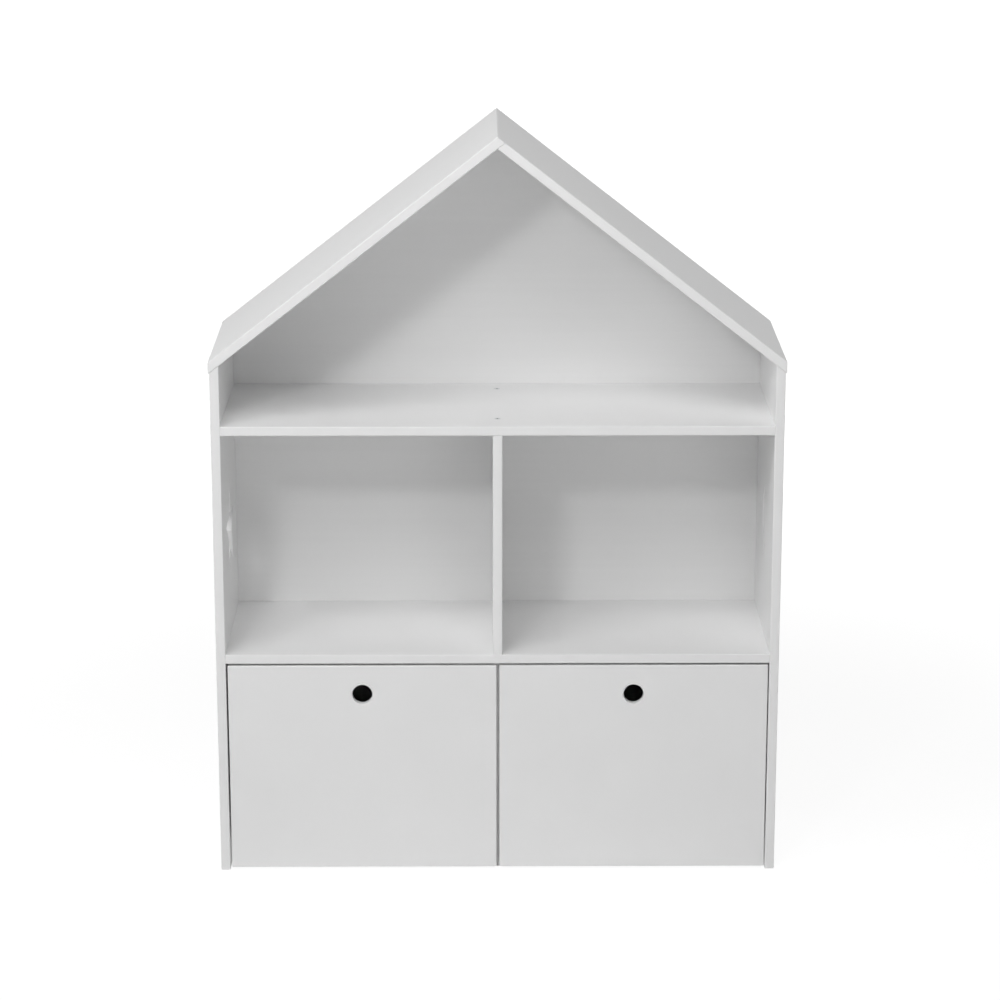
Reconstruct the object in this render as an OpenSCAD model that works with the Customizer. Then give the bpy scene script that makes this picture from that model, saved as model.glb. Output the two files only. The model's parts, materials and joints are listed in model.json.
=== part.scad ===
// House-shaped bookcase for a child's room: two tall sides under a pitched roof,
// two fixed shelves with a divider between them, grooved back panels, a star and
// a crescent cut through the sides, and two open-topped bins that roll out on castors.
// Millimetres. X is the width, -Y the front, +Z up. The origin is on the floor,
// at the middle of the width and of the depth.

/* [Carcass] */
// Width over the two side panels
body_w = 900; // [760:10:1100]
// Depth of the side panels and of the roof, front to back
body_d = 300; // [270:5:400]
// Height of a side panel at its outer face
wall_h = 830; // [800:5:980]
// Slope of the roof in degrees
roof_pitch = 38; // [30:0.5:45]
// How far the roof stands out past each side panel
eave_over = 2; // [0:0.5:10]
// Thickness of the sides, shelves, dividers and roof boards
board_t = 15; // [14:1:18]
// Top face of the upper shelf below the top of the sides
upper_shelf_drop = 86; // [80:1:110]
// Height of the lower shelf's top face
lower_shelf_z = 368; // [350:2:390]

/* [Back panels] */
// Thickness of the back panels
panel_t = 5; // [3:0.5:6]
// Rear face of a panel to the rear edge of the sides
panel_inset = 5; // [4:0.5:10]
// Depth of the groove that holds a panel's edge
groove_deep = 6; // [4:0.5:7]
// Clearance of a panel in its groove, at each face
groove_gap = 0.1; // [0.05:0.05:0.3]
// Height of the lower panel's bottom edge above the floor
panel_foot = 5; // [0:1:30]
// Half the seam between the two panels, behind the upper shelf
seam_gap = 0.1; // [0.05:0.05:0.4]

/* [Cut-outs] */
// Star, centre to the point of a sharp arm
star_r = 80; // [50:1:90]
// Crescent, radius of its outer arc
moon_r = 62; // [45:1:70]
// Crescent, radius of its inner arc
moon_inner_r = 106; // [90:1:140]
// Crescent, width of its band at the middle
moon_band = 28; // [18:1:36]
// Crescent, how far its top leans towards the back, in degrees
moon_lean = 14.5; // [0:0.5:30]
// Radius that the router leaves in the narrow ends of both cut-outs
rout_r = 2.5; // [1.5:0.5:4]
// Middle of the cut-outs behind the front edge
cutout_back = 155; // [130:1:165]
// Middle of the star above the lower shelf's top face
star_up = 171; // [150:1:190]
// Middle of the crescent above the lower shelf's top face
moon_up = 177; // [150:1:190]

/* [Fixings] */
// Front row of fixings behind the front edge
fix_front = 52; // [40:1:80]
// Rear row of fixings in from the rear edge
fix_rear = 46; // [38:1:70]
// Length of a carcass screw
screw_l = 48; // [40:1:55]
// Diameter of a carcass screw's countersunk head
screw_head_d = 10; // [8:0.5:11]
// Diameter of its plain shoulder, inside the first board
screw_neck_d = 6.6; // [5.8:0.1:7]
// Diameter of its thread, inside the second board
screw_thread_d = 5; // [4:0.1:5.4]
// Length of a bin screw
bin_screw_l = 34; // [28:1:40]
// Diameter of a bin screw's countersunk head
bin_screw_head_d = 8; // [7:0.1:9]
// Diameter of its plain shoulder, inside the first board
bin_screw_neck_d = 4.4; // [4:0.1:5]
// Diameter of its thread, inside the second board
bin_screw_thread_d = 3.6; // [3:0.1:4]
// Clearance round screws, dowels and pins in their holes
hole_gap = 0.1; // [0.05:0.05:0.2]
// Diameter of the beech dowels
dowel_d = 8; // [6:1:8]
// Depth of a dowel in the upper part of its joint
dowel_up = 10; // [6:1:11]
// Depth of a dowel in the lower part of its joint
dowel_down = 11; // [8:1:12]
// Thickness of the bent steel plates under the roof
plate_t = 2; // [1:0.5:3]
// Width of a steel plate, front to back
plate_w = 30; // [26:1:40]
// Length of each leg of a steel plate
plate_leg = 30; // [28:1:40]
// Middle of the eave plates ahead of the rear row of fixings
eave_plate_step = 29; // [26:1:50]
// Length of the small pan-head screws in the plates and castors
small_l = 11; // [8:0.5:11.5]
// Diameter of the small screws
small_d = 3.5; // [3:0.1:4]
// Number of screws along each shelf's rear edge
panel_screws = 5; // [3:1:7]
// Outermost of these screws in from the side panels
panel_screw_in = 35; // [30:1:60]
// Depth of these screws in the shelf
panel_screw_grip = 15; // [12:1:20]

/* [Bins] */
// Gap between a bin front and the side panel
bin_side_gap = 2.2; // [1.5:0.1:5]
// Gap between the two bin fronts
bin_mid_gap = 4.6; // [2:0.1:8]
// Both bins stand this far to the right of the middle of their bays
bin_shift = 0.5; // [0:0.1:1]
// Gap between the bin fronts and the lower shelf
bin_top_gap = 3.5; // [2:0.1:8]
// Bottom edge of a bin front above the floor
bin_foot = 5; // [3:0.5:12]
// Thickness of a bin front
front_t = 12; // [11:1:16]
// Thickness of a bin's sides, back and bottom
bin_t = 12; // [11.5:0.5:15]
// Side of a bin body in from the edge of its front
bin_inset = 10; // [8:1:24]
// Top of a bin's sides and back below the top of its front
bin_side_drop = 31.5; // [24:0.5:70]
// Clear distance behind a bin
bin_back_gap = 10; // [4:1:30]
// Distance from the bin fronts to the lower divider's front edge
front_gap = 2; // [1:0.5:6]
// Diameter of the finger hole
finger_d = 32; // [26:1:40]
// Middle of the finger hole below the front's top edge
finger_drop = 48.5; // [36:0.5:60]
// Diameter of a cam that ties a bin side to its front
cam_d = 12; // [10:0.5:14]
// Depth of a cam in the bin side
cam_deep = 9; // [8.6:0.1:9.5]
// Middle of a cam behind the bin front's rear face
cam_back = 24; // [20:1:34]
// Middle of the lower cams above the bottom of a bin's sides
cam_low = 46; // [40:1:70]
// Middle of the upper cams below the top of a bin's sides
cam_high = 34; // [24:1:60]
// Depth of a cam's bolt in the bin front
bolt_grip = 8; // [6:0.5:8]
// Diameter of a cam's bolt
bolt_d = 5; // [4.4:0.1:5.6]
// Lower of the two screws in a bin's rear corner above the bottom of its sides
corner_screw_low = 50; // [40:1:80]
// Upper of the two screws below the top of a bin's sides
corner_screw_high = 40; // [30:1:80]

/* [Castors] */
// Diameter of a castor wheel
wheel_d = 30; // [26:1:32]
// Width of a castor wheel
wheel_w = 14; // [10:1:20]
// Diameter of the axle
axle_d = 5; // [4:0.5:6]
// Running clearance of a wheel on its axle, radial
axle_gap = 0.05; // [0.02:0.01:0.1]
// Gap between a wheel's hub and a fork cheek
cheek_gap = 0.3; // [0.2:0.05:1]
// Steel thickness of a fork
fork_t = 2; // [1.5:0.5:3]
// Width of a fork's top plate, across the bin
fork_x = 44; // [42:1:60]
// Length of a fork's top plate, front to back
fork_y = 34; // [32:1:50]
// Gap between a wheel and the fork's top plate
fork_air = 6; // [2:0.5:12]
// Screws of a fork in from the edges of its top plate
fork_screw_in = 6; // [5:0.5:8]
// Steel left round the axle at the end of a cheek
cheek_rim = 4; // [3:0.5:6]
// Wall of a wheel's hub round the axle
hub_wall = 2.6; // [2:0.1:3.5]
// Thickness of a wheel's tread
tread_t = 3.6; // [3:0.1:4.5]
// Middle of the front castors behind the bin front's rear face
castor_front = 40; // [26:1:70]
// Middle of the rear castors in from the bin's rear face
castor_rear = 46; // [40:1:80]
// Middle of the castors in from the bin's side
castor_side = 46; // [42:1:80]

/* [Hidden] */
$fn = 48;
// How far a cut reaches past the face it opens
eps = 1;
// How far a rounding disc reaches past the straight edges it meets
lap = 0.01;

// Colours
white_lacquer = [0.93, 0.93, 0.92];
white_panel = [0.88, 0.88, 0.87];
beech = [0.85, 0.72, 0.54];
zinc = [0.72, 0.73, 0.75];
grey_wheel = [0.55, 0.56, 0.58];

// Carcass
half_w = body_w/2;
inner_x = half_w - board_t;
front_y = -body_d/2;
rear_y = body_d/2;
panel_y1 = rear_y - panel_inset;
panel_y0 = panel_y1 - panel_t;
board_v = board_t/cos(roof_pitch);
ridge_h = wall_h + half_w*tan(roof_pitch) + board_v;
eave_x = half_w + eave_over;
joint_x = board_t/(2*sin(roof_pitch));
upper_shelf_z = wall_h - upper_shelf_drop;
upper_under = upper_shelf_z - board_t;
lower_under = lower_shelf_z - board_t;
seam_z = upper_shelf_z - board_t/2;
star_z = lower_shelf_z + star_up;
moon_z = lower_shelf_z + moon_up;
fix_ys = [front_y + fix_front, rear_y - fix_rear];
lock_ys = [(fix_ys[0]*3 + fix_ys[1])/4, (fix_ys[0] + fix_ys[1]*3)/4];
eave_dowel_ys = [fix_ys[0], (fix_ys[0] + fix_ys[1])/2, fix_ys[1]];
eave_plate_y = fix_ys[1] - eave_plate_step;
// Screw places on a leg of a steel plate, as shares of its length and its width
leg_holes = [[0.45, -0.24], [0.78, 0.24]];
// A panel's edge stops this far short of the bottom of its groove
groove_slack = 0.5;
panel_edge = groove_deep - groove_slack;
panel_screw_l = panel_t + panel_screw_grip;
pan_r = small_d;
pan_h = small_d*0.55;

// Bins
bin_front_w = (2*inner_x - 2*bin_side_gap - bin_mid_gap)/2;
bin_top_z = lower_under - bin_top_gap;
bin_half = bin_front_w/2 - bin_inset;
bin_y0 = front_y + front_t;
bin_y1 = panel_y0 - bin_back_gap;
axle_z = wheel_d/2;
fork_top = wheel_d + fork_air + fork_t;
bin_floor = fork_top + bin_t;
bin_side_z = bin_top_z - bin_side_drop;
cam_y = bin_y0 + cam_back;
cam_zs = [fork_top + cam_low, bin_side_z - cam_high];
castor_xs = [-(bin_half - castor_side), bin_half - castor_side];
castor_ys = [bin_y0 + castor_front, bin_y1 - castor_rear];
bin_screw_ys = [castor_ys[0], (castor_ys[0] + castor_ys[1])/2, castor_ys[1]];
bin_screw_zs = [fork_top + corner_screw_low, bin_side_z - corner_screw_high];

function top_z(x) = ridge_h - abs(x)*tan(roof_pitch);
function under_z(x) = top_z(x) - board_v;
function bin_x(s) = s*(bin_front_w + bin_mid_gap)/2 + bin_shift;

// ---------- shared shapes ----------

// An outline in X and Z, drawn out along Y
module prism_y(y0, y1) {
    translate([0, y1, 0]) rotate([90, 0, 0]) linear_extrude(y1 - y0) children();
}

// An outline in Y and Z, drawn out along X
module prism_x(x0, x1) {
    translate([x0, 0, 0]) rotate([90, 0, 90]) linear_extrude(x1 - x0) children();
}

module block(x0, x1, y0, y1, z0, z1) {
    translate([x0, y0, z0]) cube([x1 - x0, y1 - y0, z1 - z0]);
}

// Points the children's -Z along the wanted direction, at a place
module aim(p, turn) {
    translate(p) rotate(turn) children();
}

// Countersunk screw: head flush at z = 0, point towards -Z. A gap makes its hole.
module sunk_body(head_d, neck_d, thread_d, through, l, gap = 0) {
    head_r = head_d/2 + gap;
    neck_r = neck_d/2 + gap;
    thread_r = thread_d/2 + gap;
    tip_r = thread_r/4;
    rim = head_d*0.08 + gap/2;
    cone = rim + (head_d - neck_d)/2;
    shoulder = through*0.93;
    point = thread_d*0.6;
    top = gap > 0 ? eps : 0;
    rotate_extrude()
        polygon([[0, top], [head_r, top], [head_r, -rim], [neck_r, -cone],
                 [neck_r, -shoulder], [thread_r, -shoulder - (neck_r - thread_r)],
                 [thread_r, -l + point], [tip_r, -l - gap], [0, -l - gap]]);
}

// The same with a six-sided socket in its head
module sunk_screw(head_d, neck_d, thread_d, through, l) {
    socket = head_d/4;
    difference() {
        sunk_body(head_d, neck_d, thread_d, through, l);
        translate([0, 0, -socket]) cylinder(h = socket + eps, d = head_d*0.45, $fn = 6);
    }
}

module carcass_screw() {
    sunk_screw(screw_head_d, screw_neck_d, screw_thread_d, board_t, screw_l);
}

module carcass_hole() {
    sunk_body(screw_head_d, screw_neck_d, screw_thread_d, board_t, screw_l, hole_gap);
}

module bin_screw() {
    sunk_screw(bin_screw_head_d, bin_screw_neck_d, bin_screw_thread_d, bin_t, bin_screw_l);
}

module bin_hole() {
    sunk_body(bin_screw_head_d, bin_screw_neck_d, bin_screw_thread_d, bin_t, bin_screw_l,
              hole_gap);
}

// Pan-head screw: head stands on z = 0, shank towards -Z, a crossed recess in the head
module pan_screw(l) {
    shank_r = small_d/2;
    difference() {
        rotate_extrude()
            polygon([[0, pan_h], [pan_r*0.6, pan_h], [pan_r, pan_h*0.4], [pan_r, 0],
                     [shank_r, 0], [shank_r, -l + small_d*0.6], [shank_r/4, -l], [0, -l]]);
        for (a = [0, 90])
            rotate([0, 0, a]) translate([-pan_r*0.5, -pan_r*0.1, pan_h*0.4])
                cube([pan_r, pan_r*0.2, pan_h]);
    }
}

module pan_hole(l) {
    translate([0, 0, -l - hole_gap]) cylinder(h = l + hole_gap + eps, d = small_d + 2*hole_gap);
}

// ---------- cut-outs ----------

// Five-pointed star, one arm up, its arms rounded at the tips
module star_2d(r, tip) {
    inner = r*sin(18)/sin(54);
    reach = r - tip/sin(18);
    square_off = r - tip/tan(18)*cos(18);
    difference() {
        polygon([for (k = [0:9]) let (a = 90 + 36*k, q = k % 2 == 0 ? r : inner)
                 [q*cos(a), q*sin(a)]]);
        for (k = [0:4]) rotate(90 + 72*k) translate([square_off, -r/2]) square([r, r]);
    }
    for (k = [0:4]) rotate(90 + 72*k) translate([reach, 0]) circle(r = tip + lap);
}

// Crescent with its band at +X, its horns rounded
module crescent_2d(outer, inner, band, tip) {
    off = inner + band - outer;
    a = outer - tip;
    b = inner + tip;
    cx = (b*b - a*a - off*off)/(2*off);
    cy = sqrt(a*a - cx*cx);
    t1 = [cx, cy]*outer/a;
    t2 = [-off, 0] + ([cx, cy] - [-off, 0])*inner/b;
    v = t1 - t2;
    difference() {
        circle(r = outer, $fn = 96);
        translate([-off, 0]) circle(r = inner, $fn = 128);
        for (m = [0, 1]) mirror([0, m]) translate(t2) rotate(atan2(v[1], v[0]))
            translate([-outer, 0]) square([3*outer, 3*outer]);
    }
    for (m = [0, 1]) mirror([0, m]) translate([cx, cy]) circle(r = tip + lap);
}

// The star's arms reach further up than down, so its centre lies under its mid height
module star_cut(x0, x1) {
    tip_r = star_r - rout_r/sin(18) + rout_r;
    prism_x(x0, x1) translate([front_y + cutout_back, star_z - tip_r*(1 - cos(36))/2])
        star_2d(star_r, rout_r);
}

// The outline's middle is set between the arc's rearmost point and its horns
module moon_cut(x0, x1) {
    off = moon_inner_r + moon_band - moon_r;
    horn = (moon_inner_r*moon_inner_r - moon_r*moon_r - off*off)/(2*off);
    prism_x(x0, x1) translate([front_y + cutout_back, moon_z]) rotate(-moon_lean)
        translate([-(moon_r + horn)/2, 0])
        crescent_2d(moon_r, moon_inner_r, moon_band, rout_r);
}

// ---------- holes that several boards share ----------

module shelf_fixings(s, z) {
    for (y = fix_ys) aim([s*half_w, y, z - board_t/2], [0, s*90, 0]) children();
}

module upper_divider_fixings() {
    for (y = fix_ys) aim([0, y, upper_shelf_z], [0, 0, 0]) children();
}

module lower_divider_fixings() {
    for (y = lock_ys) aim([0, y, lower_shelf_z], [0, 0, 0]) children();
}

// A dowel stands upright across the joint at z = 0
module dowel(gap = 0) {
    translate([0, 0, -dowel_down - gap*2])
        cylinder(h = dowel_up + dowel_down + gap*4, r = dowel_d/2 + gap);
}

module divider_dowel_places() {
    for (y = fix_ys) translate([0, y, lower_shelf_z]) rotate([180, 0, 0]) children();
}

module eave_dowel_places(s) {
    x = half_w - board_t/2;
    for (y = eave_dowel_ys) translate([s*x, y, under_z(x)]) children();
}

// The gable panel's outline, grown by a distance at its three upper edges and its sides
module gable_2d(grow) {
    x = inner_x + panel_edge + grow;
    up = (panel_edge + grow)/cos(roof_pitch);
    polygon([[-x, seam_z + seam_gap - grow*4], [x, seam_z + seam_gap - grow*4],
             [x, under_z(x) + up], [0, under_z(0) + up], [-x, under_z(x) + up]]);
}

module gable_groove() {
    prism_y(panel_y0 - groove_gap, panel_y1 + groove_gap) gable_2d(groove_slack);
}

module side_groove(s) {
    mirror([s > 0 ? 0 : 1, 0, 0])
        block(inner_x - eps, inner_x + groove_deep, panel_y0 - groove_gap,
              panel_y1 + groove_gap, -eps, wall_h + board_t);
}

// The screws of one leg, in its own frame: the leg runs along +X from the bend, and the
// board is on its +Z side
module on_leg(y) {
    for (h = leg_holes)
        translate([h[0]*plate_leg, y + h[1]*plate_w, -plate_t]) rotate([180, 0, 0]) children();
}

module ridge_leg(s) {
    translate([0, 0, under_z(0)]) mirror([s > 0 ? 0 : 1, 0, 0]) rotate([0, roof_pitch, 0])
        children();
}

module eave_roof_leg(s) {
    translate([s*inner_x, 0, under_z(inner_x)]) mirror([s > 0 ? 1 : 0, 0, 0])
        rotate([0, -roof_pitch, 0]) children();
}

module eave_wall_leg(s) {
    translate([s*inner_x, 0, under_z(inner_x)]) mirror([s > 0 ? 1 : 0, 0, 0])
        rotate([0, 90, 0]) mirror([0, 0, 1]) children();
}

module ridge_plate_screw_places(s) {
    for (y = fix_ys) ridge_leg(s) on_leg(y) children();
}

// ---------- carcass ----------

module side_panel(s) {
    difference() {
        prism_y(front_y, rear_y)
            polygon([[s*inner_x, 0], [s*half_w, 0], [s*half_w, under_z(half_w)],
                     [s*inner_x, under_z(inner_x)]]);
        side_groove(s);
        for (z = [upper_shelf_z, lower_shelf_z]) shelf_fixings(s, z) carcass_hole();
        eave_dowel_places(s) dowel(hole_gap);
        eave_wall_leg(s) on_leg(eave_plate_y) pan_hole(small_l);
        if (s < 0) star_cut(-half_w - eps, -inner_x + eps);
        else moon_cut(inner_x - eps, half_w + eps);
    }
}

module side_panel_left() {
    color(white_lacquer) side_panel(-1);
}

module side_panel_right() {
    color(white_lacquer) side_panel(1);
}

module roof_cuts(s) {
    gable_groove();
    eave_dowel_places(s) dowel(hole_gap);
    ridge_plate_screw_places(s) pan_hole(small_l);
    eave_roof_leg(s) on_leg(eave_plate_y) pan_hole(small_l);
}

// The left board runs through to the right slope and its end is planed flush with it
module roof_panel_left() {
    color(white_lacquer) difference() {
        prism_y(front_y, rear_y)
            polygon([[-eave_x, top_z(eave_x)], [0, ridge_h], [joint_x, top_z(joint_x)],
                     [-eave_x, under_z(eave_x)]]);
        roof_cuts(-1);
    }
}

// The right board butts against the underside of the left one
module roof_panel_right() {
    color(white_lacquer) difference() {
        prism_y(front_y, rear_y)
            polygon([[joint_x, top_z(joint_x)], [eave_x, top_z(eave_x)],
                     [eave_x, under_z(eave_x)], [0, under_z(0)]]);
        roof_cuts(1);
    }
}

// Screws through a back panel into a shelf's rear edge, at a height
module panel_screw_row(z) {
    run = 2*(inner_x - panel_screw_in);
    for (k = [0:panel_screws - 1])
        translate([-run/2 + k*run/(panel_screws - 1), panel_y1, z]) rotate([-90, 0, 0])
            children();
}

module seam_rows(up) {
    panel_screw_row(seam_z + up*board_t/4) children();
}

module panel_hole() {
    pan_hole(panel_screw_l);
}

module upper_shelf() {
    color(white_lacquer) difference() {
        block(-inner_x, inner_x, front_y, panel_y0, upper_under, upper_shelf_z);
        for (s = [-1, 1]) shelf_fixings(s, upper_shelf_z) carcass_hole();
        upper_divider_fixings() carcass_hole();
        for (up = [-1, 1]) seam_rows(up) panel_hole();
    }
}

module lower_shelf() {
    color(white_lacquer) difference() {
        block(-inner_x, inner_x, front_y, panel_y0, lower_under, lower_shelf_z);
        for (s = [-1, 1]) shelf_fixings(s, lower_shelf_z) carcass_hole();
        lower_divider_fixings() carcass_hole();
        divider_dowel_places() dowel(hole_gap);
        panel_screw_row(lower_shelf_z - board_t/2) panel_hole();
    }
}

module upper_divider() {
    color(white_lacquer) difference() {
        block(-board_t/2, board_t/2, front_y, panel_y0, lower_shelf_z, upper_under);
        upper_divider_fixings() carcass_hole();
        divider_dowel_places() dowel(hole_gap);
    }
}

// Stands on the floor behind the two bin fronts and carries the lower shelf
module lower_divider() {
    color(white_lacquer) difference() {
        block(-board_t/2, board_t/2, front_y + front_t + front_gap, panel_y0, 0, lower_under);
        lower_divider_fixings() carcass_hole();
    }
}

module gable_back_panel() {
    color(white_panel) difference() {
        prism_y(panel_y0, panel_y1) gable_2d(0);
        seam_rows(1) panel_hole();
    }
}

module lower_back_panel() {
    color(white_panel) difference() {
        block(-inner_x - panel_edge, inner_x + panel_edge, panel_y0, panel_y1, panel_foot,
              seam_z - seam_gap);
        seam_rows(-1) panel_hole();
        panel_screw_row(lower_shelf_z - board_t/2) panel_hole();
    }
}

module shelf_screws() {
    color(zinc) for (s = [-1, 1], z = [upper_shelf_z, lower_shelf_z])
        shelf_fixings(s, z) carcass_screw();
}

module upper_divider_screws() {
    color(zinc) upper_divider_fixings() carcass_screw();
}

module lower_divider_screws() {
    color(zinc) lower_divider_fixings() carcass_screw();
}

module divider_dowels() {
    color(beech) divider_dowel_places() dowel();
}

module eave_dowels() {
    color(beech) for (s = [-1, 1]) eave_dowel_places(s) dowel();
}

// Steel strip bent to the angle under the ridge
module ridge_plate_2d() {
    reach = plate_leg*cos(roof_pitch);
    drop = plate_leg*sin(roof_pitch);
    thick_x = plate_t*sin(roof_pitch);
    thick_z = plate_t*cos(roof_pitch);
    z = under_z(0);
    polygon([[0, z], [reach, z - drop], [reach - thick_x, z - drop - thick_z],
             [0, z - plate_t/cos(roof_pitch)], [-reach + thick_x, z - drop - thick_z],
             [-reach, z - drop]]);
}

module ridge_plates() {
    color(zinc) difference() {
        for (y = fix_ys) prism_y(y - plate_w/2, y + plate_w/2) ridge_plate_2d();
        for (s = [-1, 1]) ridge_plate_screw_places(s) pan_hole(small_l);
    }
}

// Steel strip bent to the angle between a side panel and the roof board on it
module eave_plate_2d() {
    z = under_z(inner_x);
    reach = plate_leg*cos(roof_pitch);
    rise = plate_leg*sin(roof_pitch);
    thick_x = plate_t*sin(roof_pitch);
    thick_z = plate_t*cos(roof_pitch);
    corner = plate_t*tan(45 - roof_pitch/2);
    polygon([[inner_x, z], [inner_x, z - plate_leg], [inner_x - plate_t, z - plate_leg],
             [inner_x - plate_t, z - corner], [inner_x - reach - thick_x, z + rise - thick_z],
             [inner_x - reach, z + rise]]);
}

module eave_plates() {
    color(zinc) for (s = [-1, 1]) difference() {
        mirror([s > 0 ? 0 : 1, 0, 0])
            prism_y(eave_plate_y - plate_w/2, eave_plate_y + plate_w/2) eave_plate_2d();
        eave_roof_leg(s) on_leg(eave_plate_y) pan_hole(small_l);
        eave_wall_leg(s) on_leg(eave_plate_y) pan_hole(small_l);
    }
}

module plate_screws() {
    color(zinc) for (s = [-1, 1]) {
        ridge_plate_screw_places(s) pan_screw(small_l);
        eave_roof_leg(s) on_leg(eave_plate_y) pan_screw(small_l);
        eave_wall_leg(s) on_leg(eave_plate_y) pan_screw(small_l);
    }
}

module back_panel_screws() {
    color(zinc) {
        for (up = [-1, 1]) seam_rows(up) pan_screw(panel_screw_l);
        panel_screw_row(lower_shelf_z - board_t/2) pan_screw(panel_screw_l);
    }
}

// ---------- bins, drawn about their own middle in X ----------

// Cam bolt: thread in the front board, neck and head in the cam, along +Y
module cam_bolt() {
    shank_r = bolt_d/2;
    neck_r = bolt_d*0.38;
    head_r = bolt_d*0.64;
    neck_0 = cam_back - bolt_d;
    head_0 = cam_back - bolt_d*0.4;
    bevel = bolt_d*0.12;
    head_1 = cam_back + bolt_d*0.2;
    rotate([-90, 0, 0]) rotate_extrude()
        polygon([[0, -bolt_grip], [shank_r, -bolt_grip], [shank_r, neck_0],
                 [neck_r, neck_0 + bevel], [neck_r, head_0 - bevel], [head_r, head_0],
                 [head_r, head_1], [0, head_1]]);
}

module cam_bolt_hole() {
    rotate([-90, 0, 0]) translate([0, 0, -bolt_grip - 2*hole_gap])
        cylinder(h = cam_back + bolt_grip + 2*hole_gap, r = bolt_d/2 + hole_gap);
}

module cam_places(sides = [-1, 1]) {
    for (s = sides, z = cam_zs) translate([s*(bin_half - bin_t/2), bin_y0, z]) children();
}

// Disc with a crossed driver slot in its face and a bore that takes the bolt's head
module cam(s) {
    slot_l = cam_d*0.64;
    slot_w = cam_d*0.1;
    slot_deep = cam_d*0.12;
    head_end = cam_back + bolt_d*0.26;
    mirror([s > 0 ? 0 : 1, 0, 0]) translate([bin_half - bin_t, 0, 0]) difference() {
        translate([0, cam_back, 0]) rotate([0, 90, 0]) cylinder(h = cam_deep, d = cam_d);
        for (a = [0, 90])
            translate([-eps, cam_back, 0]) rotate([a, 0, 0])
                translate([0, -slot_l/2, -slot_w/2]) cube([eps + slot_deep, slot_l, slot_w]);
        translate([bin_t/2, 0, 0]) rotate([-90, 0, 0]) cylinder(h = head_end, d = bolt_d*1.44);
    }
}

module bin_front() {
    difference() {
        block(-bin_front_w/2, bin_front_w/2, front_y, bin_y0, bin_foot, bin_top_z);
        translate([0, bin_y0 + eps, bin_top_z - finger_drop]) rotate([90, 0, 0])
            cylinder(h = front_t + 2*eps, d = finger_d);
        cam_places() cam_bolt_hole();
    }
}

module bin_screw_places(s) {
    for (y = bin_screw_ys) aim([s*bin_half, y, fork_top + bin_t/2], [0, s*90, 0]) children();
    for (z = bin_screw_zs) aim([s*bin_half, bin_y1 - bin_t/2, z], [0, s*90, 0]) children();
}

module bin_side(s) {
    difference() {
        mirror([s > 0 ? 0 : 1, 0, 0])
            block(bin_half - bin_t, bin_half, bin_y0, bin_y1, fork_top, bin_side_z);
        bin_screw_places(s) bin_hole();
        cam_places([s]) cam_bolt_hole();
        for (z = cam_zs) mirror([s > 0 ? 0 : 1, 0, 0])
            translate([bin_half - bin_t - eps, cam_y, z]) rotate([0, 90, 0])
                cylinder(h = cam_deep + hole_gap + eps, r = cam_d/2 + hole_gap);
    }
}

module bin_back() {
    difference() {
        block(-bin_half + bin_t, bin_half - bin_t, bin_y1 - bin_t, bin_y1, fork_top, bin_side_z);
        for (s = [-1, 1]) bin_screw_places(s) bin_hole();
    }
}

module castor_places() {
    for (x = castor_xs, y = castor_ys) translate([x, y, 0]) children();
}

module fork_screw_places() {
    castor_places() for (i = [-1, 1], j = [-1, 1])
        translate([i*(fork_x/2 - fork_screw_in), j*(fork_y/2 - fork_screw_in), fork_top - fork_t])
            rotate([180, 0, 0]) children();
}

module bin_bottom() {
    difference() {
        block(-bin_half + bin_t, bin_half - bin_t, bin_y0, bin_y1 - bin_t, fork_top, bin_floor);
        for (s = [-1, 1]) bin_screw_places(s) bin_hole();
        fork_screw_places() pan_hole(small_l);
    }
}

module bin_screws() {
    for (s = [-1, 1]) bin_screw_places(s) bin_screw();
}

module bin_cams() {
    for (s = [-1, 1], z = cam_zs) translate([0, bin_y0, z]) cam(s);
}

module bin_cam_bolts() {
    cam_places() cam_bolt();
}

// Castor fork: a flat plate with two cheeks that narrow to a round end at the axle
module cheek_2d() {
    end_r = axle_d/2 + cheek_rim;
    shoulder = fork_y/2 - cheek_rim;
    top = fork_top - fork_t/2;
    polygon([[-shoulder, top], [-end_r, axle_z], [end_r, axle_z], [shoulder, top]]);
    translate([0, axle_z]) circle(r = end_r);
}

module fork() {
    cheek_x = wheel_w/2 + cheek_gap;
    difference() {
        union() {
            block(-fork_x/2, fork_x/2, -fork_y/2, fork_y/2, fork_top - fork_t, fork_top);
            prism_x(cheek_x, cheek_x + fork_t) cheek_2d();
            prism_x(-cheek_x - fork_t, -cheek_x) cheek_2d();
        }
        translate([-fork_x, 0, axle_z]) rotate([0, 90, 0])
            cylinder(h = 2*fork_x, r = axle_d/2 + axle_gap);
    }
}

module bin_forks() {
    difference() {
        castor_places() fork();
        fork_screw_places() pan_hole(small_l);
    }
}

module bin_fork_screws() {
    fork_screw_places() pan_screw(small_l);
}

// Axle with a riveted head over each cheek
module axle() {
    half = wheel_w/2 + cheek_gap + fork_t + 0.1;
    head_r = axle_d*0.8;
    head_h = axle_d*0.28;
    translate([0, 0, axle_z]) rotate([0, 90, 0]) {
        translate([0, 0, -half - head_h/2]) cylinder(h = 2*half + head_h, d = axle_d);
        for (m = [0, 1]) mirror([0, 0, m]) translate([0, 0, half])
            rotate_extrude()
                polygon([[0, 0], [head_r, 0], [head_r, head_h*0.4], [axle_d*0.55, head_h],
                         [0, head_h]]);
    }
}

module bin_axles() {
    castor_places() axle();
}

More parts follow.
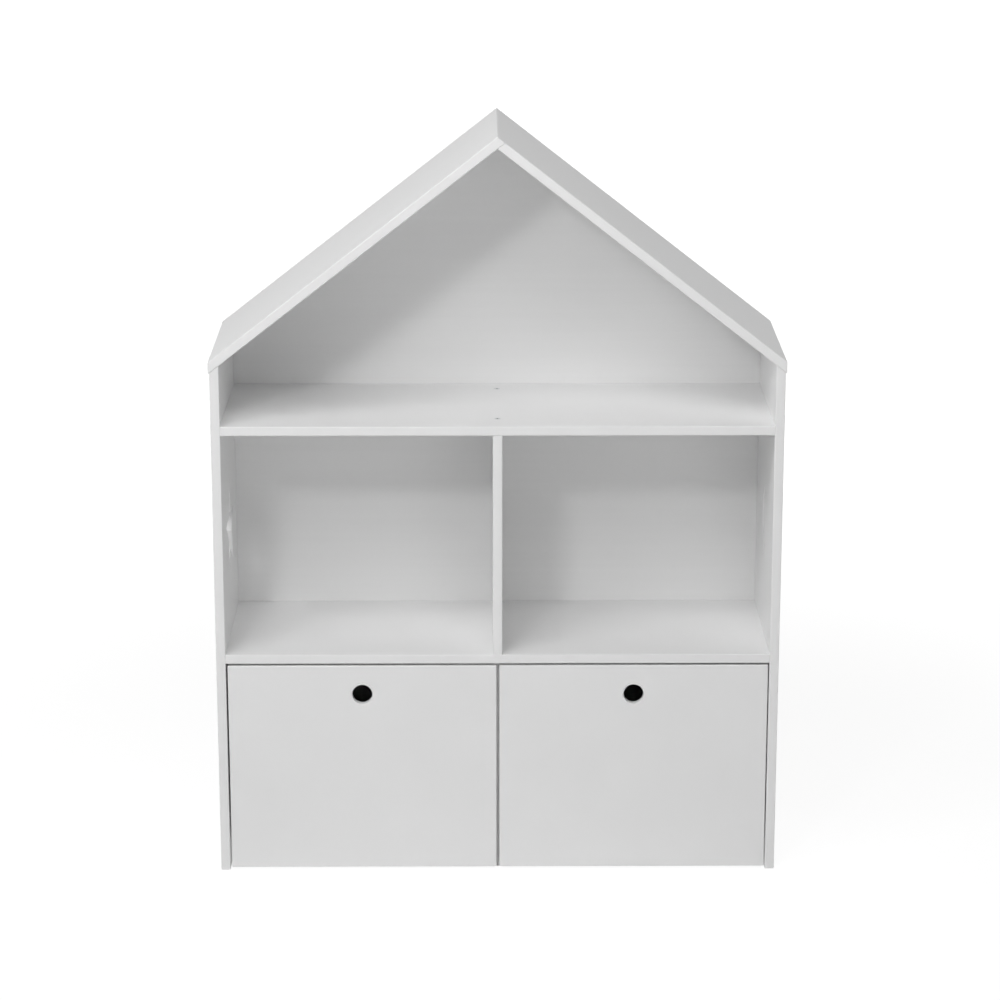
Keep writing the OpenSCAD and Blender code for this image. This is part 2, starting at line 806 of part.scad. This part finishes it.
// Wheel: hub, thin web with a dish on each face, and a rim with eased corners
module wheel() {
    r = wheel_d/2;
    hub = axle_d/2 + hub_wall;
    rim = r - tread_t;
    w = wheel_w/2;
    web = w*0.36;
    side = w - 0.8;
    ease = tread_t*0.44;
    bore = axle_d/2 + axle_gap;
    translate([0, 0, axle_z]) rotate([0, 90, 0]) rotate_extrude($fn = 72)
        polygon([[bore, -w], [hub, -w], [hub, -web], [rim, -web], [rim, -side],
                 [r - ease, -side], [r, -side + ease], [r, side - ease], [r - ease, side],
                 [rim, side], [rim, web], [hub, web], [hub, w], [bore, w]]);
}

module bin_wheel(i, j) {
    translate([castor_xs[i], castor_ys[j], 0]) wheel();
}

module at_left() {
    translate([bin_x(-1), 0, 0]) children();
}

module at_right() {
    translate([bin_x(1), 0, 0]) children();
}

module bin_left_front() {
    color(white_lacquer) at_left() bin_front();
}

module bin_left_side_outer() {
    color(white_lacquer) at_left() bin_side(-1);
}

module bin_left_side_inner() {
    color(white_lacquer) at_left() bin_side(1);
}

module bin_left_back() {
    color(white_lacquer) at_left() bin_back();
}

module bin_left_bottom() {
    color(white_lacquer) at_left() bin_bottom();
}

module bin_left_screws() {
    color(zinc) at_left() bin_screws();
}

module bin_left_cams() {
    color(zinc) at_left() bin_cams();
}

module bin_left_cam_bolts() {
    color(zinc) at_left() bin_cam_bolts();
}

module bin_left_forks() {
    color(zinc) at_left() bin_forks();
}

module bin_left_fork_screws() {
    color(zinc) at_left() bin_fork_screws();
}

module bin_left_axles() {
    color(zinc) at_left() bin_axles();
}

module bin_left_wheel_front_outer() {
    color(grey_wheel) at_left() bin_wheel(0, 0);
}

module bin_left_wheel_front_inner() {
    color(grey_wheel) at_left() bin_wheel(1, 0);
}

module bin_left_wheel_rear_outer() {
    color(grey_wheel) at_left() bin_wheel(0, 1);
}

module bin_left_wheel_rear_inner() {
    color(grey_wheel) at_left() bin_wheel(1, 1);
}

module bin_right_front() {
    color(white_lacquer) at_right() bin_front();
}

module bin_right_side_outer() {
    color(white_lacquer) at_right() bin_side(1);
}

module bin_right_side_inner() {
    color(white_lacquer) at_right() bin_side(-1);
}

module bin_right_back() {
    color(white_lacquer) at_right() bin_back();
}

module bin_right_bottom() {
    color(white_lacquer) at_right() bin_bottom();
}

module bin_right_screws() {
    color(zinc) at_right() bin_screws();
}

module bin_right_cams() {
    color(zinc) at_right() bin_cams();
}

module bin_right_cam_bolts() {
    color(zinc) at_right() bin_cam_bolts();
}

module bin_right_forks() {
    color(zinc) at_right() bin_forks();
}

module bin_right_fork_screws() {
    color(zinc) at_right() bin_fork_screws();
}

module bin_right_axles() {
    color(zinc) at_right() bin_axles();
}

module bin_right_wheel_front_outer() {
    color(grey_wheel) at_right() bin_wheel(1, 0);
}

module bin_right_wheel_front_inner() {
    color(grey_wheel) at_right() bin_wheel(0, 0);
}

module bin_right_wheel_rear_outer() {
    color(grey_wheel) at_right() bin_wheel(1, 1);
}

module bin_right_wheel_rear_inner() {
    color(grey_wheel) at_right() bin_wheel(0, 1);
}

side_panel_left();
side_panel_right();
roof_panel_left();
roof_panel_right();
upper_shelf();
lower_shelf();
upper_divider();
lower_divider();
gable_back_panel();
lower_back_panel();
shelf_screws();
upper_divider_screws();
lower_divider_screws();
divider_dowels();
eave_dowels();
ridge_plates();
eave_plates();
plate_screws();
back_panel_screws();
bin_left_front();
bin_left_side_outer();
bin_left_side_inner();
bin_left_back();
bin_left_bottom();
bin_left_screws();
bin_left_cams();
bin_left_cam_bolts();
bin_left_forks();
bin_left_fork_screws();
bin_left_axles();
bin_left_wheel_front_outer();
bin_left_wheel_front_inner();
bin_left_wheel_rear_outer();
bin_left_wheel_rear_inner();
bin_right_front();
bin_right_side_outer();
bin_right_side_inner();
bin_right_back();
bin_right_bottom();
bin_right_screws();
bin_right_cams();
bin_right_cam_bolts();
bin_right_forks();
bin_right_fork_screws();
bin_right_axles();
bin_right_wheel_front_outer();
bin_right_wheel_front_inner();
bin_right_wheel_rear_outer();
bin_right_wheel_rear_inner();
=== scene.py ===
"""The looks of a house-shaped bookcase for a child's room, built over its CAD frame.

Metres, in the frame of the CAD: X is the width, -Y the front, +Z up, the origin on the floor.
"""

import json
import math

import bmesh
import bpy
from mathutils import Euler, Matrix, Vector
from mathutils.bvhtree import BVHTree

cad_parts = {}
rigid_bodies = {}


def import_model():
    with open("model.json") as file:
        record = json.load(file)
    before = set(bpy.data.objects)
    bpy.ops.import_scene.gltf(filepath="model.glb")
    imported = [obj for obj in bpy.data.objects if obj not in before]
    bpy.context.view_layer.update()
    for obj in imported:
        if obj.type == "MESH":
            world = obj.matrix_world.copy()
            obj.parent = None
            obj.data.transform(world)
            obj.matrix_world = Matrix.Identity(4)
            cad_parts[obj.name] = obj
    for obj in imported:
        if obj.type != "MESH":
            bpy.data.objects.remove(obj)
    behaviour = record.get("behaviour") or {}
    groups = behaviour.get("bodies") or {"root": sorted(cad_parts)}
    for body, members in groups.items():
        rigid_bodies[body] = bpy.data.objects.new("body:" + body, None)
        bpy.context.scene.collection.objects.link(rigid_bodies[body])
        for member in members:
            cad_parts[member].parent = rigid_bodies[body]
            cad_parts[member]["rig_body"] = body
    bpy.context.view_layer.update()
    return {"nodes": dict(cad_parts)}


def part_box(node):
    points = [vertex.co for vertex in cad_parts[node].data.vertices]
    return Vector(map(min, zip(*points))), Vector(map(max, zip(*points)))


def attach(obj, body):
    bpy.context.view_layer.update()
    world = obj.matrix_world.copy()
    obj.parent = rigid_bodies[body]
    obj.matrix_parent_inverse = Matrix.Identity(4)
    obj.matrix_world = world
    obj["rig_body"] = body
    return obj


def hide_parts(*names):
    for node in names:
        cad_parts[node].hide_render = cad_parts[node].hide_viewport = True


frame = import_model()

MM = 0.001

# ---------- sizes of the finish ----------

BOARD_EASE = 1.5 * MM  # radius of the sanded edges of the lacquered boards
STEEL_EASE = 0.25 * MM  # radius of the edges of the pressed steel parts
EASE_STEPS = 3  # faces round an eased edge
SHARP = math.radians(38)  # edges sharper than this stay crisp in the shading
EASED = math.radians(35)  # edges sharper than this are sanded
FLAT = math.radians(0.4)  # neighbouring faces nearer to level than this become one face
TOUCH = 0.25 * MM  # an edge with another part nearer than this is inside a joint
EDGE_SAMPLES = (0.1, 0.3, 0.5, 0.7, 0.9)  # where along an edge its neighbours are sought
COVERED_SAMPLES = 3  # an edge with this many samples in a joint isn't sanded
WELD = 0.02 * MM  # corners nearer than this are one corner

BOARDS = [
    "side_panel_left",
    "side_panel_right",
    "roof_panel_left",
    "roof_panel_right",
    "upper_shelf",
    "lower_shelf",
    "upper_divider",
    "lower_divider",
]
BIN_BOARDS = ["front", "side_outer", "side_inner", "back", "bottom"]
BIN_STEEL = ["forks", "axles", "screws", "fork_screws", "cams", "cam_bolts"]
BIN_WHEELS = ["wheel_front_outer", "wheel_front_inner", "wheel_rear_outer", "wheel_rear_inner"]
CARCASS_STEEL = [
    "ridge_plates",
    "eave_plates",
    "plate_screws",
    "shelf_screws",
    "upper_divider_screws",
    "lower_divider_screws",
    "back_panel_screws",
]
DOWELS = ["divider_dowels", "eave_dowels"]
PANELS = ["gable_back_panel", "lower_back_panel"]


# ---------- materials ----------


def linear(hex_colour):
    """An sRGB colour such as 'E6E5E2' as the linear RGBA that shaders take."""
    channels = [int(hex_colour[i : i + 2], 16) / 255 for i in (0, 2, 4)]
    curve = [c / 12.92 if c <= 0.04045 else ((c + 0.055) / 1.055) ** 2.4 for c in channels]
    return (*curve, 1.0)


def add_node(tree, kind, inputs=None, **settings):
    """Adds one shader node, sets it up, and gives each named input its value or its link."""
    node = tree.nodes.new("ShaderNode" + kind)
    for name, value in settings.items():
        setattr(node, name, value)
    for key, value in (inputs or {}).items():
        if isinstance(value, bpy.types.NodeSocket):
            tree.links.new(value, node.inputs[key])
        else:
            node.inputs[key].default_value = value
    return node


def new_material(name):
    """An empty node material and its node tree."""
    material = bpy.data.materials.new(name)
    material.use_nodes = True
    material.node_tree.nodes.clear()
    return material, material.node_tree


# Patterns as repeats in a metre, from the size of one repeat.
LACQUER_CLOUD = 9.0  # 110 mm, a hand's width
ORANGE_PEEL = 320.0  # 3 mm
PANEL_STREAK = (2.2, 2.2, 120.0)  # 450 mm long and 8 mm apart
ZINC_CLOUD = 260.0  # 4 mm
BEECH_FLECK = (900.0, 900.0, 70.0)  # 1 mm thick and 14 mm long
NYLON_SPARK = 1400.0  # 0.7 mm


def satin_white_lacquer():
    """Two-part lacquer sprayed on fibreboard and left satin.

    The eye sees an even white with a soft sheen, very slightly uneven in tone over a hand's
    width, and a fine orange peel where light grazes it.
    """
    material, tree = new_material("satin_white_lacquer")
    place = add_node(tree, "TexCoord").outputs["Object"]
    cloud = add_node(tree, "TexNoise", {"Vector": place, "Scale": LACQUER_CLOUD, "Detail": 2.0})
    peel = add_node(tree, "TexNoise", {"Vector": place, "Scale": ORANGE_PEEL, "Detail": 2.0})
    tone = add_node(
        tree,
        "Mix",
        {0: cloud.outputs["Fac"], 6: linear("EEEEEE"), 7: linear("F2F2F2")},
        data_type="RGBA",
    )
    sheen = add_node(
        tree,
        "MapRange",
        {"Value": peel.outputs["Fac"], "To Min": 0.36, "To Max": 0.46},
    )
    bump = add_node(
        tree,
        "Bump",
        {"Height": peel.outputs["Fac"], "Strength": 0.12, "Distance": 0.05 * MM},
    )
    shader = add_node(
        tree,
        "BsdfPrincipled",
        {
            "Base Color": tone.outputs[2],
            "Roughness": sheen.outputs["Result"],
            "IOR": 1.49,
            "Normal": bump.outputs["Normal"],
        },
    )
    add_node(tree, "OutputMaterial", {"Surface": shader.outputs["BSDF"]})
    return material


def white_panel_face():
    """Thin board with a white painted face, as used for backs.

    The paint is thinner than the lacquer, so the board's grain shows through as faint level
    streaks, drawn 8 mm apart, and the gloss is duller.
    """
    material, tree = new_material("white_panel_face")
    place = add_node(tree, "TexCoord").outputs["Object"]
    stretch = add_node(tree, "Mapping", {"Vector": place, "Scale": PANEL_STREAK})
    grain = add_node(
        tree,
        "TexNoise",
        {"Vector": stretch.outputs["Vector"], "Scale": 1.0, "Detail": 4.0, "Roughness": 0.6},
    )
    tone = add_node(
        tree,
        "Mix",
        {0: grain.outputs["Fac"], 6: linear("F1F1F1"), 7: linear("F5F5F5")},
        data_type="RGBA",
    )
    bump = add_node(
        tree,
        "Bump",
        {"Height": grain.outputs["Fac"], "Strength": 0.15, "Distance": 0.05 * MM},
    )
    shader = add_node(
        tree,
        "BsdfPrincipled",
        {
            "Base Color": tone.outputs[2],
            "Roughness": 0.55,
            "IOR": 1.49,
            "Normal": bump.outputs["Normal"],
        },
    )
    add_node(tree, "OutputMaterial", {"Surface": shader.outputs["BSDF"]})
    return material


def zinc_plated_steel():
    """Bright zinc plating over pressed or turned steel.

    The eye sees a light grey metal whose tone and gloss are slightly cloudy.
    """
    material, tree = new_material("zinc_plated_steel")
    place = add_node(tree, "TexCoord").outputs["Object"]
    cloud = add_node(tree, "TexNoise", {"Vector": place, "Scale": ZINC_CLOUD, "Detail": 3.0})
    tone = add_node(
        tree,
        "Mix",
        {0: cloud.outputs["Fac"], 6: linear("CFD1D3"), 7: linear("E4E5E6")},
        data_type="RGBA",
    )
    gloss = add_node(
        tree,
        "MapRange",
        {"Value": cloud.outputs["Fac"], "To Min": 0.24, "To Max": 0.42},
    )
    bump = add_node(
        tree,
        "Bump",
        {"Height": cloud.outputs["Fac"], "Strength": 0.15, "Distance": 0.03 * MM},
    )
    shader = add_node(
        tree,
        "BsdfPrincipled",
        {
            "Base Color": tone.outputs[2],
            "Metallic": 1.0,
            "Roughness": gloss.outputs["Result"],
            "Normal": bump.outputs["Normal"],
        },
    )
    add_node(tree, "OutputMaterial", {"Surface": shader.outputs["BSDF"]})
    return material


def bare_beech():
    """Turned beech rod, unfinished: pale tan with short darker flecks along the grain."""
    material, tree = new_material("bare_beech")
    place = add_node(tree, "TexCoord").outputs["Object"]
    stretch = add_node(tree, "Mapping", {"Vector": place, "Scale": BEECH_FLECK})
    fleck = add_node(
        tree,
        "TexNoise",
        {"Vector": stretch.outputs["Vector"], "Scale": 1.0, "Detail": 3.0},
    )
    tone = add_node(
        tree,
        "Mix",
        {0: fleck.outputs["Fac"], 6: linear("C9A878"), 7: linear("E0C79C")},
        data_type="RGBA",
    )
    bump = add_node(
        tree,
        "Bump",
        {"Height": fleck.outputs["Fac"], "Strength": 0.3, "Distance": 0.1 * MM},
    )
    shader = add_node(
        tree,
        "BsdfPrincipled",
        {
            "Base Color": tone.outputs[2],
            "Roughness": 0.65,
            "Normal": bump.outputs["Normal"],
        },
    )
    add_node(tree, "OutputMaterial", {"Surface": shader.outputs["BSDF"]})
    return material


def moulded_nylon():
    """Grey nylon, injection moulded with a lightly sparked surface, as on small castors."""
    material, tree = new_material("moulded_nylon")
    place = add_node(tree, "TexCoord").outputs["Object"]
    spark = add_node(tree, "TexNoise", {"Vector": place, "Scale": NYLON_SPARK, "Detail": 2.0})
    tone = add_node(
        tree,
        "Mix",
        {0: spark.outputs["Fac"], 6: linear("8E9092"), 7: linear("9A9C9E")},
        data_type="RGBA",
    )
    bump = add_node(
        tree,
        "Bump",
        {"Height": spark.outputs["Fac"], "Strength": 0.25, "Distance": 0.05 * MM},
    )
    shader = add_node(
        tree,
        "BsdfPrincipled",
        {
            "Base Color": tone.outputs[2],
            "Roughness": 0.5,
            "IOR": 1.53,
            "Normal": bump.outputs["Normal"],
        },
    )
    add_node(tree, "OutputMaterial", {"Surface": shader.outputs["BSDF"]})
    return material


# ---------- finished pieces ----------


def node_surfaces():
    """A search tree and a box for each CAD node, which tell what lies against an edge."""
    surfaces = {}
    for name, node in frame["nodes"].items():
        points = [v.co for v in node.data.vertices]
        faces = [tuple(p.vertices) for p in node.data.polygons]
        low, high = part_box(name)
        surfaces[name] = (BVHTree.FromPolygons(points, faces), low, high)
    return surfaces


def near_box(point, low, high):
    """True if the point lies within touching distance of the box."""
    return all(low[i] - TOUCH < point[i] < high[i] + TOUCH for i in range(3))


def in_joint(point, own, surfaces):
    """True if another part lies against this point.

    The grooves of the back panels don't count: the router leaves their edges broken.
    """
    for name, (tree, low, high) in surfaces.items():
        if name != own and name not in PANELS and near_box(point, low, high):
            if tree.find_nearest(point, TOUCH)[0] is not None:
                return True
    return False


def edges_to_ease(mesh, own, surfaces):
    """The convex edges that no other part covers along most of their length."""
    found = []
    for edge in mesh.edges:
        if not (edge.is_manifold and edge.is_convex and edge.calc_face_angle() > EASED):
            continue
        start, end = (v.co for v in edge.verts)
        covered = [in_joint(start.lerp(end, s), own, surfaces) for s in EDGE_SAMPLES]
        if sum(covered) < COVERED_SAMPLES:
            found.append(edge)
    return found


def smooth_by_angle(mesh):
    """Shades curves smooth and keeps the sharp edges crisp."""
    for face in mesh.faces:
        face.smooth = True
    for edge in mesh.edges:
        edge.smooth = not edge.is_manifold or edge.calc_face_angle() < SHARP


def finished(node_name, material, surfaces, ease=0.0):
    """A welded copy of a CAD node with its free edges eased, which stands for that node."""
    source = frame["nodes"][node_name]
    mesh = bmesh.new()
    mesh.from_mesh(source.data)
    bmesh.ops.remove_doubles(mesh, verts=mesh.verts, dist=WELD)
    bmesh.ops.dissolve_degenerate(mesh, edges=mesh.edges, dist=WELD)
    bmesh.ops.dissolve_limit(mesh, angle_limit=FLAT, verts=mesh.verts, edges=mesh.edges)
    if ease:
        bmesh.ops.bevel(
            mesh,
            geom=edges_to_ease(mesh, node_name, surfaces),
            offset=ease,
            offset_type="OFFSET",
            segments=EASE_STEPS,
            profile=0.5,
            affect="EDGES",
            clamp_overlap=False,
            material=-1,
        )
    smooth_by_angle(mesh)
    data = bpy.data.meshes.new(node_name + "_finished")
    mesh.to_mesh(data)
    mesh.free()
    data.materials.append(material)
    piece = bpy.data.objects.new(node_name + "_finished", data)
    bpy.context.scene.collection.objects.link(piece)
    normals = piece.modifiers.new("flat_faces_stay_flat", "WEIGHTED_NORMAL")
    normals.keep_sharp = True
    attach(piece, source["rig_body"])
    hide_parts(node_name)
    return piece


def repaint(node_name, material):
    """Gives a CAD node that is shown as it is a better material."""
    node = frame["nodes"][node_name]
    node.data.materials.clear()
    node.data.materials.append(material)


def dress_bookcase():
    """Every board, panel, fastener and wheel gets its finish."""
    surfaces = node_surfaces()
    lacquer = satin_white_lacquer()
    panel_face = white_panel_face()
    zinc = zinc_plated_steel()
    beech = bare_beech()
    nylon = moulded_nylon()
    for name in BOARDS:
        finished(name, lacquer, surfaces, BOARD_EASE)
    for name in PANELS:
        finished(name, panel_face, surfaces)
    for name in CARCASS_STEEL:
        ease = STEEL_EASE if name.endswith("_plates") else 0.0
        finished(name, zinc, surfaces, ease)
    for name in DOWELS:
        repaint(name, beech)
    for side in ("bin_left_", "bin_right_"):
        for part in BIN_BOARDS:
            finished(side + part, lacquer, surfaces, BOARD_EASE)
        for part in BIN_STEEL:
            finished(side + part, zinc, surfaces)
        for part in BIN_WHEELS:
            finished(side + part, nylon, surfaces)


# ---------- studio ----------

WHITE = (1.0, 1.0, 1.0, 1.0)
TARGET = Vector((0.0, 0.0, 0.6))  # the middle of the bookcase, which every soft box faces

# Name, place, width, height and power in watts of each soft box.
SOFT_BOXES = [
    ("key_box", Vector((-1.3, -3.65, 2.82)), 0.6, 0.35, 25.0),
    ("top_front", Vector((0.0, -2.6, 3.6)), 2.4, 1.6, 49.0),
    ("top_left", Vector((-1.8, -1.9, 3.4)), 1.4, 1.2, 41.0),
    ("left_fill", Vector((-3.2, -0.4, 1.8)), 2.0, 2.0, 9.0),
    ("front_right", Vector((1.6, -4.6, 1.3)), 1.6, 1.6, 9.0),
    ("right_low", Vector((3.4, 0.3, 0.3)), 1.6, 1.0, 14.0),
    ("rear_fill", Vector((1.6, 4.2, 0.4)), 3.0, 0.8, 60.0),
]

# Strength of the world's light on the bookcase, from the walls and from overhead.
WALL_LIGHT = 0.39
CEILING_LIGHT = 0.0

FLOOR_GLOW = 1.14  # a little over 1, so that the glow and the lit share together are white
FLOOR_GLOW_NEAR = 0.8  # the glow's share of what is seen near the bookcase
FLOOR_NEAR = 0.8  # metres from the middle, where the glow's share starts to rise
FLOOR_FAR = 3.0  # metres from the middle, from where on all is glow
FLOOR_REACH = 30.0  # metres from the middle to each edge

CAMERA_PLACE = (-0.0256, -4.95, 1.965)
CAMERA_DOWN = math.radians(15.6)  # below level
CAMERA_RIGHT = math.radians(0.35)  # to the right of straight ahead
CAMERA_LENS = 113.8  # millimetres
CAMERA_SENSOR = 36.0  # millimetres


def soft_box(name, place, width, height, power):
    """A rectangular area lamp that faces the bookcase and isn't seen itself.

    The rear one isn't mirrored either, which keeps its glare off the back panels.
    """
    lamp = bpy.data.lights.new(name, "AREA")
    lamp.shape = "RECTANGLE"
    lamp.size = width
    lamp.size_y = height
    lamp.energy = power
    holder = bpy.data.objects.new(name, lamp)
    holder.location = place
    holder.rotation_euler = (TARGET - place).to_track_quat("-Z", "Y").to_euler()
    holder.visible_camera = False
    holder.visible_glossy = name != "rear_fill"
    bpy.context.scene.collection.objects.link(holder)
    return holder


def seen_directly(tree):
    """1 where a ray comes straight, or by a mirror or glass, from the camera, and 0 elsewhere."""
    path = add_node(tree, "LightPath")
    shiny = add_node(
        tree,
        "Math",
        {0: path.outputs["Is Camera Ray"], 1: path.outputs["Is Glossy Ray"]},
        operation="MAXIMUM",
    )
    return add_node(
        tree,
        "Math",
        {0: shiny.outputs[0], 1: path.outputs["Is Transmission Ray"]},
        operation="MAXIMUM",
    ).outputs[0]


def studio_floor():
    """A matt white floor that looks as white as the backdrop and keeps a faint shadow.

    Far from the bookcase all that is seen of it is glow, and near it a fifth is lit by the
    lamps, which is where the shadow shows. The boards get no light from the glow itself.
    """
    material, tree = new_material("studio_floor")
    place = add_node(tree, "TexCoord").outputs["Object"]
    away = add_node(tree, "VectorMath", {0: place}, operation="LENGTH").outputs["Value"]
    glow_share = add_node(
        tree,
        "MapRange",
        {
            "Value": away,
            "From Min": FLOOR_NEAR,
            "From Max": FLOOR_FAR,
            "To Min": FLOOR_GLOW_NEAR,
            "To Max": 1.0,
        },
        interpolation_type="SMOOTHSTEP",
    )
    matt = add_node(tree, "BsdfDiffuse", {"Color": linear("EEEEEE")})
    glow = add_node(tree, "Emission", {"Color": WHITE, "Strength": FLOOR_GLOW})
    mostly_glow = add_node(
        tree,
        "MixShader",
        {0: glow_share.outputs["Result"], 1: matt.outputs[0], 2: glow.outputs[0]},
    )
    chosen = add_node(
        tree,
        "MixShader",
        {0: seen_directly(tree), 1: matt.outputs[0], 2: mostly_glow.outputs[0]},
    )
    add_node(tree, "OutputMaterial", {"Surface": chosen.outputs[0]})
    mesh = bmesh.new()
    bmesh.ops.create_grid(mesh, x_segments=1, y_segments=1, size=FLOOR_REACH)
    data = bpy.data.meshes.new("studio_floor")
    mesh.to_mesh(data)
    mesh.free()
    data.materials.append(material)
    floor = bpy.data.objects.new("studio_floor", data)
    bpy.context.scene.collection.objects.link(floor)


def studio_world():
    """White where it is seen directly.

    The bookcase itself gets the light of pale walls, which fades out towards the dark ceiling
    that the soft boxes hang from.
    """
    world = bpy.data.worlds.new("studio")
    world.use_nodes = True
    tree = world.node_tree
    tree.nodes.clear()
    place = add_node(tree, "TexCoord").outputs["Generated"]
    height = add_node(tree, "SeparateXYZ", {"Vector": place}).outputs["Z"]
    strength = add_node(
        tree,
        "MapRange",
        {
            "Value": height,
            "From Min": 0.0,
            "From Max": 0.5,
            "To Min": WALL_LIGHT,
            "To Max": CEILING_LIGHT,
        },
        interpolation_type="SMOOTHSTEP",
    )
    soft = add_node(
        tree, "Background", {"Color": WHITE, "Strength": strength.outputs["Result"]}
    )
    white = add_node(tree, "Background", {"Color": WHITE, "Strength": 1.0})
    chosen = add_node(
        tree,
        "MixShader",
        {0: seen_directly(tree), 1: soft.outputs[0], 2: white.outputs[0]},
    )
    add_node(tree, "OutputWorld", {"Surface": chosen.outputs[0]})
    bpy.context.scene.world = world


def studio_camera():
    """The photograph's viewpoint: 4.8 m in front, a little left, above the ridge, looking down.

    The lens isn't shifted, so the uprights converge slightly towards the floor.
    """
    data = bpy.data.cameras.new("camera")
    data.sensor_width = CAMERA_SENSOR
    data.lens = CAMERA_LENS
    camera = bpy.data.objects.new("camera", data)
    camera.location = CAMERA_PLACE
    camera.rotation_euler = Euler((math.radians(90) - CAMERA_DOWN, 0.0, -CAMERA_RIGHT))
    bpy.context.scene.collection.objects.link(camera)
    bpy.context.scene.camera = camera


dress_bookcase()
for box in SOFT_BOXES:
    soft_box(*box)
studio_floor()
studio_world()
studio_camera()
bpy.context.scene.view_settings.view_transform = "Standard"
